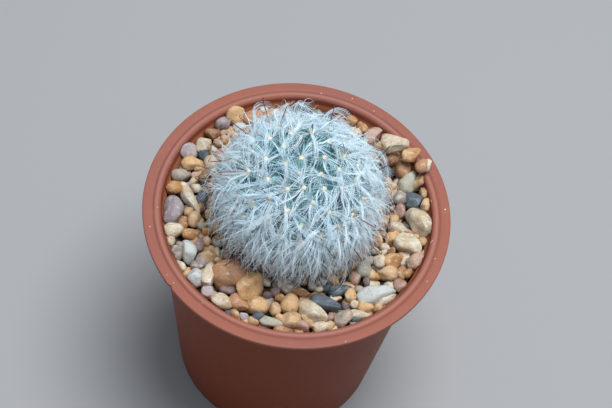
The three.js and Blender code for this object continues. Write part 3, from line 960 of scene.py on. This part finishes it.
# The areoles: a cushion of cream wool on the tip of each tubercle, out of which all its spines grow. The
# short bristles that stand in it are the yellow bases of spines.
pad_radius = 0.62 * mm
pad_lift = 0.05 * mm
bristle_count = 12
bristle_radius = 0.1 * mm
bristle_length = 1.15 * mm
bristle_rise = 0.55 * mm
bristle_turn = 2.4
pad_turn = 1.7
golden_share = 0.618
wool_brown = (0.66, 0.40, 0.20)
wool_cream = (0.90, 0.82, 0.66)

pad = start_from(bpy.ops.mesh.primitive_ico_sphere_add, subdivisions=2, radius=pad_radius)
bpy.ops.object.mode_set(mode="EDIT")
bpy.ops.transform.resize(value=(1, 1, 0.6), center_override=(0, 0, 0))
bpy.ops.transform.vertex_random(offset=0.12 * mm, seed=4)
bpy.ops.object.mode_set(mode="OBJECT")
pad_parts = [pad]
for i in range(bristle_count):
    lean = Euler((0, 0.25 + 0.9 * (i % 3) / 2, i * bristle_turn)).to_matrix().to_4x4()
    size = {"radius1": bristle_radius, "radius2": 0, "depth": bristle_length}
    bristle = start_from(bpy.ops.mesh.primitive_cone_add, vertices=4, **size)
    bristle.data.transform(Matrix.Translation((0, 0, bristle_rise)))
    bristle.data.transform(lean)
    pad_parts.append(bristle)
join(pad_parts, "pad")
pads = []
for i, (tip, outward, level) in enumerate(areoles):
    copy = copy_of(pad)
    copy.data.transform(Matrix.Rotation(i * pad_turn, 4, "Z"))
    set_on_stem(copy, tip + outward * pad_lift, outward)
    give_tone(copy, (i * golden_share) % 1 + max(0, level))
    pads.append(copy)
bpy.data.objects.remove(pad)
wool_pads = join(pads, "areole_wool")
smooth(wool_pads)

wool = Finish("areole wool", {"Roughness": 0.8})
fuzz = wool.between(wool.noise(0.3 * mm, 3) + wool.attribute("tone") * 0.2, 0.42, 0.75)
wool.show("Base Color", wool.mix(fuzz, wool_brown, wool_cream))
wool.bump(wool.noise(0.12 * mm, 2), 0.08 * mm)
hand_over(wool_pads, wool, "cactus")

# The white hairs: the radial spines of each areole, fine as hair. Short stiff ones stand round the
# areole like the teeth of a comb. Longer ones mat into wavy locks that flow down the sides on to the
# pebbles, and single ones stand out as a halo.
hair_radius = 0.058 * mm
fine_radius = 0.045 * mm
pelt_radius = 25.6 * mm
ground_height = 75.3 * mm
skirt_level = 0.5
skirt_radius = 0.06 * mm
root_hair = (0.90, 0.88, 0.76)
# the pale blue of hairs high on the plant: painted cool sky light on white hair
sky_cast_blue_hair = (0.62, 0.86, 1.0)
white_hair = (0.93, 0.98, 1.0)

# The locks that stand out in the photograph, each by the pixels that it passes from its root on.
seen_locks = [
    # the crown
    [(302, 135), (300, 140), (296, 146), (288, 152), (281, 158)],
    [(312, 133), (314, 139), (317, 148), (317, 160), (314, 167), (308, 178), (307, 185)],
    [(281, 154), (270, 158), (265, 163), (261, 173), (259, 181), (258, 187), (262, 192)],
    [(286, 164), (286, 170), (287, 177), (284, 184), (279, 188), (272, 192)],
    [(304, 176), (301, 180), (298, 184), (295, 189), (293, 195)],
    [(337, 148), (339, 155), (339, 163), (336, 170)],
    [(322, 175), (331, 179), (337, 179), (343, 183), (348, 187), (350, 192), (351, 198), (348, 206)],
    [(302, 178), (304, 168), (306, 160), (304, 152)],
    # the upper edge
    [(256, 123), (263, 118), (270, 116), (279, 117)],
    [(280, 112), (284, 108), (289, 105), (296, 101)],
    [(296, 101), (303, 105), (309, 108), (314, 112)],
    [(328, 112), (331, 111), (337, 109), (343, 111), (347, 113), (351, 119), (356, 122)],
    [(337, 140), (341, 143), (346, 144), (354, 145), (362, 151)],
    [(254, 120), (253, 110), (258, 104), (268, 103), (277, 106)],
    [(256, 118), (254, 112), (255, 107), (253, 103)],
    [(249, 121), (246, 115), (242, 108)],
    # the right side
    [(346, 143), (353, 146), (360, 150), (368, 153), (371, 156), (372, 162)],
    [(354, 168), (358, 173), (357, 179), (359, 184), (359, 192), (358, 198)],
    [(362, 160), (366, 165), (370, 171), (370, 178), (368, 186)],
    [(377, 150), (384, 157), (387, 169), (388, 178), (386, 188)],
    [(346, 198), (349, 204), (348, 210), (348, 215), (345, 222), (343, 230), (339, 233), (333, 235)],
    [(358, 222), (361, 228), (365, 234), (365, 240), (364, 247), (363, 253), (360, 259), (358, 265)],
    [(345, 232), (346, 238), (346, 243), (345, 249), (346, 255), (349, 262), (351, 268), (349, 273)],
    # the middle
    [(337, 226), (330, 230), (325, 232), (321, 236)],
    [(329, 205), (323, 212), (319, 218), (318, 224), (316, 230)],
    [(284, 204), (285, 211), (286, 218), (284, 222), (283, 227), (281, 231), (277, 240), (272, 251)],
    [(294, 206), (292, 214), (289, 220), (287, 226)],
    [(319, 230), (315, 233), (310, 237), (306, 242), (302, 248), (297, 252), (291, 257), (285, 260),
     (278, 263)],
    [(315, 233), (309, 238), (304, 244), (299, 249), (293, 254), (287, 257), (280, 259)],
    [(284, 234), (286, 241), (284, 248), (282, 253), (279, 259)],
    [(301, 226), (300, 231), (300, 237), (299, 245)],
    [(272, 204), (270, 212), (268, 218), (268, 224), (268, 230), (270, 237), (272, 243), (271, 252)],
    [(268, 216), (260, 221), (254, 226), (248, 230), (241, 236), (237, 241), (232, 245)],
    [(267, 217), (259, 224), (252, 229), (244, 235), (238, 240)],
    # the left side
    [(257, 153), (257, 160), (257, 167), (255, 177), (252, 186)],
    [(250, 189), (247, 193), (244, 197), (240, 200), (232, 203)],
    [(246, 198), (242, 206), (240, 211), (238, 216), (237, 222), (240, 228)],
    [(237, 200), (234, 205), (231, 210), (228, 214), (227, 218), (226, 221), (223, 226), (216, 230)],
    [(258, 238), (254, 246), (253, 253), (249, 257), (245, 262)],
    [(256, 247), (251, 249), (241, 252), (232, 251), (224, 250)],
    # the lower edge
    [(267, 250), (267, 258), (265, 266), (263, 272)],
    [(270, 256), (272, 263), (273, 268), (272, 278), (270, 284)],
    [(262, 262), (258, 266), (253, 272), (250, 276), (246, 280)],
    [(285, 262), (286, 270), (287, 279), (288, 287)],
    [(296, 264), (297, 272), (297, 279), (295, 287)],
    [(317, 260), (318, 268), (318, 274), (317, 279)],
    [(346, 272), (344, 278), (340, 285), (334, 289), (329, 292)],
    [(353, 250), (354, 256), (354, 263), (353, 270)],
]


def unit(vectors):
    """Vectors of the same directions, one unit long."""
    return vectors / np.linalg.norm(vectors, axis=-1, keepdims=True)


def resample(path, gone, count):
    """A path of so many points, evenly spaced by how far each point of the old path has gone."""
    stops = np.linspace(0, gone[-1], count)
    return np.stack([np.interp(stops, gone, path[:, axis]) for axis in range(3)], axis=1)


def smooth_path(points, count):
    """A path of equal steps whose corners are cut round."""
    path = np.array(points)
    for _ in range(3):
        first = 0.75 * path[:-1] + 0.25 * path[1:]
        second = 0.25 * path[:-1] + 0.75 * path[1:]
        path = np.concatenate([path[:1], np.stack([first, second], 1).reshape(-1, 3), path[-1:]])
    gone = np.concatenate([[0], np.cumsum(np.linalg.norm(np.diff(path, axis=0), axis=1))])
    return resample(path, gone, count)


def strand_mesh(name, paths, radius, outwards, tones):
    """Three-sided threads, closed at the root and pointed at the tip, along paths of equal steps."""
    count, points = paths.shape[:2]
    along = unit(np.gradient(paths, axis=1))
    chord = paths[:, -1] - paths[:, 0]
    aside = unit(np.cross(chord, outwards))[:, None, :]
    aside = unit(aside - (aside * along).sum(-1, keepdims=True) * along)
    over = np.cross(along, aside)
    taper = 1 - 0.7 * np.linspace(0, 1, points) ** 2
    corners = []
    for corner in range(3):
        angle = corner * 2 * math.pi / 3
        around = aside * math.cos(angle) + over * math.sin(angle)
        corners.append(paths + around * radius * taper[None, :, None])
    rings = np.stack(corners, axis=2)[:, :-1].reshape(count, -1, 3)
    verts = np.concatenate([rings, paths[:, -1:]], axis=1)
    per_strand = verts.shape[1]
    quads = []
    for step in range(points - 2):
        for corner in range(3):
            after = (corner + 1) % 3
            low = step * 3
            quads.append((low + corner, low + after, low + 3 + after, low + 3 + corner))
    last = (points - 2) * 3
    triangles = [(last, last + 1, per_strand - 1), (last + 1, last + 2, per_strand - 1)]
    triangles += [(last + 2, last, per_strand - 1), (0, 2, 1)]
    starts = np.arange(count)[:, None, None] * per_strand
    faces = (np.array(quads)[None] + starts).reshape(-1, 4).tolist()
    faces += (np.array(triangles)[None] + starts).reshape(-1, 3).tolist()
    mesh = bpy.data.meshes.new(name)
    mesh.from_pydata(verts.reshape(-1, 3).tolist(), [], faces)
    mesh.shade_smooth()
    share = np.append(np.repeat(np.linspace(0, 1, points)[:-1], 3), 1.0)
    mesh.attributes.new("along", "FLOAT", "POINT").data.foreach_set("value", np.tile(share, count))
    mesh.attributes.new("tone", "FLOAT", "POINT").data.foreach_set("value", np.repeat(tones, per_strand))
    strand = bpy.data.objects.new(name, mesh)
    bpy.context.collection.objects.link(strand)
    return strand


def grow_hairs(hairs, points):
    """The paths of hairs, one row of the table each, step by step from the root to the tip.

    A hair leans out of its areole, turns downhill as it grows, sways, and lies on the plant at its own
    height over the skin. Low down it hangs, and it ends on top of the pebbles.
    """
    centre = np.array(stem_centre)
    size = np.array(tip_size)
    down = np.array([0, 0, -1.0])
    place = hairs["root"].copy()
    path = [place.copy()]
    step = (hairs["length"] / (points - 1))[:, None]
    for k in range(points - 1):
        t = (k + 0.5) / (points - 1)
        normal = unit((place - centre) / size ** 2)
        slope = np.maximum(1 - normal[:, 2:] ** 2, 0.02) ** 0.5
        downhill = unit(down - (normal @ down)[:, None] * normal + 1e-6)
        flow = hairs["side"] + (hairs["flow"] * min(1, 1.6 * t))[:, None] * downhill * slope
        flow = unit(flow - (flow * normal).sum(-1, keepdims=True) * normal)
        across = np.cross(normal, flow)
        lean = (hairs["lean"] + (hairs["last_lean"] - hairs["lean"]) * t ** 0.8)[:, None]
        heading = np.cos(lean) * normal + np.sin(lean) * flow
        heading = heading + hairs["droop"][:, None] * t * down
        turn = 2 * math.pi * t * hairs["waves"]
        sway = hairs["sway"] * np.sin(hairs["phase"] + turn)
        bob = 0.6 * hairs["sway"] * np.sin(1.7 * hairs["phase"] + 1.3 * turn)
        heading = unit(heading + across * sway[:, None] + normal * bob[:, None])
        place = place + heading * step
        over_skin = np.linalg.norm((place - centre) / size, axis=1)
        least = 1 + (hairs["layer"] - 1) * min(1, 3 * t)
        place = centre + (place - centre) * np.maximum(least / over_skin, 1)[:, None]
        away = np.linalg.norm(place - centre, axis=1)
        place = centre + (place - centre) * np.minimum(1, 0.35 + 0.65 * pelt_radius / away)[:, None]
        ground = ground_height + heap_slope * place[:, 1] + 0.7 * mm * np.sin(9 * hairs["phase"])
        place[:, 2] = np.maximum(place[:, 2], ground)
        path.append(place.copy())
    return np.stack(path, axis=1)


def gather(paths, hairs, tightness):
    """Draws the hairs of each lock together between the root and the tip."""
    points = paths.shape[1]
    bundles = paths.reshape(-1, hairs, points, 3)
    middle = bundles.mean(axis=1, keepdims=True)
    share = np.sin(np.linspace(0, 2.5, points)) * tightness[:, None]
    bundles = bundles + (middle - bundles) * share[:, None, :, None]
    return bundles.reshape(-1, points, 3)


def root_hairs(
    chosen, locks, hairs, rng, turns, crown, foot, lean, last_lean, length, flow, layer, sway, waves
):
    """A table of hairs, rooted in locks round each areole. Ranges are (least, most).

    Locks point up to the given turn away from downhill. The crown and the foot have a share of them.
    """
    table = {}

    def note(name, value):
        """Puts a value in the next row of one column."""
        table.setdefault(name, []).append(value)

    for tip, outward, level in chosen:
        outward = np.array(outward)
        across = unit(np.cross([0, 0, 1.0], outward) + 1e-6)
        uphill = np.cross(outward, across)
        crownness = min(max((level - 0.75) / 0.2, 0), 1)
        footness = min(max((0.5 - level) / 0.4, 0), 1)
        share = 1 - crownness * (1 - crown) - footness * (1 - foot)
        sag = min(max((0.8 - level) / 0.8, 0), 1)
        for lock in range(round(locks * share)):
            middle_turn = (2 * (lock + rng.uniform(0, 1)) / locks - 1) * turns - math.pi / 2
            lock_values = {
                "lean": rng.uniform(*lean),
                "last_lean": rng.uniform(*last_lean),
                "flow": rng.uniform(*flow) * (1 + 1.6 * sag),
                "layer": 1 + (rng.uniform(*layer) - 1) * (0.7 + 0.7 * max(level, 0)),
                "sway": rng.uniform(*sway) * (1 - 0.5 * sag),
                "waves": rng.uniform(*waves),
                "phase": rng.uniform(0, 2 * math.pi),
                "droop": rng.uniform(0.1, 0.35) + 0.9 * max(0, 0.35 - outward[2]),
            }
            lock_length = rng.uniform(*length) * mm * (1.1 - 0.25 * max(level, 0) - 0.2 * footness)
            # Hairs higher on the plant get lower tones, and so more of the painted sky blue.
            tone = 0.6 * rng.uniform(0, 1) + 0.5 * (1 - max(level, 0))
            for _ in range(hairs):
                turn = middle_turn + (rng.normal(0, 0.2) if hairs > 1 else 0)
                side = across * math.cos(turn) + uphill * math.sin(turn)
                for name, value in lock_values.items():
                    note(name, value)
                if hairs > 1:
                    table["lean"][-1] += rng.normal(0, 0.14)
                    table["phase"][-1] += rng.normal(0, 0.45)
                note("root", np.array(tip) + side * pad_radius * rng.uniform(0.45, 0.95))
                note("side", side)
                note("outward", outward)
                note("length", lock_length * rng.uniform(0.8, 1.1))
                note("tone", tone)
    return {name: np.array(values) for name, values in table.items()}


hair = Finish("white hair", {"Roughness": 0.55, "Specular IOR Level": 0.35})
# Hairs of low tone are tinted pale blue: painted cool sky light on white hair.
hair_colour = hair.mix(hair.attribute("tone"), sky_cast_blue_hair, white_hair)
near_root = hair.between(hair.attribute("along"), 0.0, 0.15)
hair.show("Base Color", hair.mix(near_root, root_hair, hair_colour))


def grow_kind(name, chosen, locks, hairs, rng, points, radius, **habit):
    """Grows one kind of hair from the chosen areoles, as one piece. Hairs in a lock lie together."""
    table = root_hairs(chosen, locks, hairs, rng, **habit)
    paths = grow_hairs(table, points)
    if hairs > 1:
        paths = gather(paths, hairs, rng.uniform(0.4, 0.9, len(paths) // hairs))
    piece = strand_mesh(name, paths, radius, table["outward"], table["tone"])
    hand_over(piece, hair, "cactus")


grow_kind(
    "hair_combs", areoles, locks=36, hairs=1, rng=np.random.default_rng(11), points=5,
    radius=fine_radius, turns=math.pi, crown=0.45, foot=0.3, lean=(0.9, 1.35), last_lean=(1.35, 1.65),
    length=(3.8, 7.0), flow=(0.1, 0.5), layer=(1.0, 1.06), sway=(0, 0.12), waves=(0.3, 0.8),
)
lock_rng = np.random.default_rng(400)
for group in range(3):
    grow_kind(
        f"hair_locks_{group + 1}", areoles[group::3], locks=6, hairs=6, rng=lock_rng, points=11,
        radius=hair_radius, turns=2.5, crown=0.25, foot=0.06, lean=(0.6, 1.15), last_lean=(1.45, 1.85),
        length=(9.0, 13.0), flow=(0.8, 2.4), layer=(1.03, 1.18), sway=(0.25, 0.8), waves=(0.5, 1.3),
    )
grow_kind(
    "hair_loose", areoles, locks=12, hairs=1, rng=np.random.default_rng(5), points=9,
    radius=fine_radius, turns=2.8, crown=0.25, foot=0.25, lean=(0.5, 1.2), last_lean=(1.3, 1.8),
    length=(7, 12), flow=(0.3, 1.3), layer=(1.0, 1.18), sway=(0.15, 0.6), waves=(0.4, 1.2),
)
low_areoles = [areole for areole in areoles if areole[2] < skirt_level]
grow_kind(
    "hair_skirt", low_areoles, locks=11, hairs=1, rng=np.random.default_rng(64), points=11,
    radius=skirt_radius, turns=1.9, crown=1, foot=0.8, lean=(0.4, 1.1), last_lean=(1.3, 1.8),
    length=(10, 16), flow=(0.4, 2.0), layer=(1.03, 1.34), sway=(0.15, 0.6), waves=(0.5, 1.3),
)
grow_kind(
    "hair_halo", areoles, locks=8, hairs=1, rng=np.random.default_rng(77), points=9,
    radius=fine_radius, turns=2.6, crown=0.5, foot=1, lean=(0.3, 0.9), last_lean=(0.8, 1.8),
    length=(7.5, 11.0), flow=(0.1, 0.8), layer=(1.0, 1.1), sway=(0.15, 0.5), waves=(0.4, 1.1),
)


def detour(tip, run):
    """How far an areole is from the start of a run, longer if a hair from it would have to turn back."""
    gap = run[0] - tip
    return gap.length * (1.7 - gap.normalized().dot((run[1] - run[0]).normalized()))


seen_rng = np.random.default_rng(31)
hairs_in_seen_lock = 11
hairs_in_low_lock = 5
seen_points = 14
seen_paths = []
seen_outwards = []
seen_tones = []
for pixels in seen_locks:
    run = []
    for i, pixel in enumerate(pixels):
        place = on_pelt(pixel, 1.08 + 0.05 * min(i, 2))
        lack = ground_height + heap_slope * place.y - place.z
        run.append(place + pixel_ray(pixel) * max(0, lack) / pixel_ray(pixel).z)
    roots = sorted(areoles, key=lambda areole: detour(areole[0], run))[:2]
    run = np.array(run)
    gone = np.linspace(0, 1, len(run))[:, None]
    aside = unit(np.cross(run[-1] - run[0], roots[0][1]))
    lock_tone = seen_rng.uniform(0.5, 1)
    for _ in range(hairs_in_seen_lock if roots[0][2] > 0.3 else hairs_in_low_lock):
        root, outward, _ = roots[int(seen_rng.uniform() < 0.3)]
        spread = (0.35 + 0.75 * gone) * mm
        sway = 0.3 * mm * np.sin(seen_rng.uniform(0, 6.3) + seen_rng.uniform(2, 6) * gone)
        hair_run = run + aside * (seen_rng.normal(0, 0.6) * spread + sway)
        hair_run = hair_run + np.array(outward) * seen_rng.normal(0, 0.5) * spread
        path = smooth_path([root, *hair_run], 40)[: round(40 * seen_rng.uniform(0.7, 1))]
        seen_paths.append(resample(path, np.arange(len(path)), seen_points))
        seen_outwards.append(outward)
        seen_tones.append(lock_tone)
seen_paths = np.array(seen_paths)
seen = strand_mesh("hair_seen_locks", seen_paths, hair_radius, np.array(seen_outwards), seen_tones)
hand_over(seen, hair, "cactus")

# The hooked central spines: one stiff red-brown spine in some of the areoles, yellow at its base and
# dark at its tip, which is bent round like a fish hook.
hooked_length = 8 * mm
hooked_radius = 0.15 * mm
hook_radius = 0.62 * mm
hook_turn = 2.9
shaft_points = 5
hook_points = 7
least_depth = 2 * mm
spine_ground = 75.6 * mm
amber = (0.62, 0.36, 0.14)
red_brown = (0.14, 0.025, 0.03)
dark_horn = (0.045, 0.016, 0.018)

# Where the photograph shows such spines: the pixel of the base and the pixel of the hook.
seen_spines = [
    ((236, 161.5), (208, 162)),
    ((248.6, 171.4), (213.5, 172.5)),
    ((253.5, 140), (230.5, 121.5)),
    ((255, 199), (242, 204)),
    ((232.5, 214), (233, 223.5)),
    ((260.7, 224), (255.8, 230)),
    ((278, 252.8), (273, 261)),
    ((320, 235.6), (335, 260)),
    ((352.5, 215), (376, 228)),
    ((372, 206), (394, 211)),
    ((373.7, 183.6), (383.7, 180)),
    ((375.6, 165.3), (391.5, 161)),
    ((341, 150), (343, 143)),
    ((339, 120), (334, 130)),
    ((334.5, 197.8), (338.7, 201)),
    ((307, 276), (309, 284)),
    ((312, 131), (313, 123)),
    ((301.3, 225.3), (302.5, 238.7)),
    ((361, 256), (363, 262)),
]


def nearest_areole(pixel):
    """The areole that lies nearest to a pixel's line of sight, on the side towards the camera."""
    ray = pixel_ray(pixel)
    best = None
    for tip, outward, level in areoles:
        sight = tip - camera_place
        miss = (sight - ray * sight.dot(ray)).length
        if outward.dot(ray) < 0.15 and (best is None or miss < best[0]):
            best = (miss, tip, outward)
    return best[1], best[2]


def spine_towards(tip, outward, pixel):
    """The direction from an areole that ends a spine on a pixel's line of sight, turned outwards."""
    ray = pixel_ray(pixel)
    sight = tip - camera_place
    nearest = camera_place + ray * sight.dot(ray)
    miss = nearest - tip
    depth = math.sqrt(max(hooked_length ** 2 - miss.length_squared, least_depth ** 2))
    choices = [(miss - ray * depth).normalized(), (miss + ray * depth).normalized()]
    return max(choices, key=lambda direction: direction.dot(outward))


spines = []
for base_pixel, hook_pixel in seen_spines:
    tip, outward = nearest_areole(base_pixel)
    spines.append((tip, outward, spine_towards(tip, outward, hook_pixel)))

# On the sides that the photograph doesn't show, every third areole has one.
spine_rng = np.random.default_rng(2024)
for i, (tip, outward, level) in enumerate(areoles):
    away = outward.dot((tip - camera_place).normalized())
    if away > -0.35 and i % 3 == 0:
        direction = Euler(spine_rng.uniform(-0.5, 0.5, 3)).to_matrix() @ outward
        spines.append((tip, outward, direction))

spine_paths = []
for tip, outward, direction in spines:
    sideways = direction.cross(Vector((0, 0, 1)) + outward * 0.3).normalized()
    inward = sideways.cross(direction) * (1 if spine_rng.uniform() < 0.5 else -1)
    end = tip + direction * (hooked_length - hook_radius)
    bow = inward * spine_rng.uniform(-0.4, 0.4) * mm
    path = []
    for k in range(shaft_points):
        t = k / shaft_points
        path.append(tip + (end - tip) * t + bow * math.sin(math.pi * t))
    for k in range(hook_points):
        angle = hook_turn * k / (hook_points - 1)
        out = direction * hook_radius * math.sin(angle)
        path.append(end + out + inward * hook_radius * (1 - math.cos(angle)))
    spine_paths.append(path)
spine_paths = np.array(spine_paths)
spine_paths[:, :, 2] = np.maximum(spine_paths[:, :, 2], spine_ground)
spine_outwards = np.array([outward for tip, outward, direction in spines])
hooked = strand_mesh("hooked_spines", spine_paths, hooked_radius, spine_outwards, np.zeros(len(spines)))

horn = Finish("spine horn", {"Roughness": 0.3, "Specular IOR Level": 0.5})
along = horn.attribute("along")
colour = horn.mix(horn.between(along, 0.05, 0.28), amber, red_brown)
colour = horn.mix(horn.between(along, 0.55, 0.8), colour, dark_horn)
horn.show("Base Color", colour)
hand_over(hooked, horn, "cactus")

# The table that the pot stands on and the light: a plain pale floor under one large soft lamp overhead,
# and a weak even light from all round.
floor_size = 6.0
floor_grey = (0.34, 0.335, 0.34)
lamp_place = (0.12, 0.06, 0.9)
lamp_aim = Vector((0, 0, 0.08))
lamp_size = 0.5
lamp_power = 9.0
lamp_white = (0.95, 0.98, 1.0)
sky_white = (0.78, 0.90, 1.0, 1)
sky_strength = 0.42

floor = start_from(bpy.ops.mesh.primitive_plane_add, size=floor_size)
floor.name = "floor"
paper = Finish("pale floor", {"Roughness": 0.8, "Base Color": floor_grey})
floor.data.materials.append(paper.material)

lamp = start_from(bpy.ops.object.light_add, type="AREA", location=lamp_place)
lamp.name = "lamp"
lamp.data.shape = "DISK"
lamp.data.size = lamp_size
lamp.data.energy = lamp_power
lamp.data.color = lamp_white
lamp.rotation_euler = (lamp_aim - lamp.location).to_track_quat("-Z", "Y").to_euler()

world = bpy.data.worlds.new("room")
bpy.context.scene.world = world
world.use_nodes = True
sky = world.node_tree.nodes["Background"]
sky.inputs["Color"].default_value = sky_white
sky.inputs["Strength"].default_value = sky_strength
bpy.context.scene.view_settings.view_transform = "Standard"
bpy.context.scene.view_settings.look = "None"
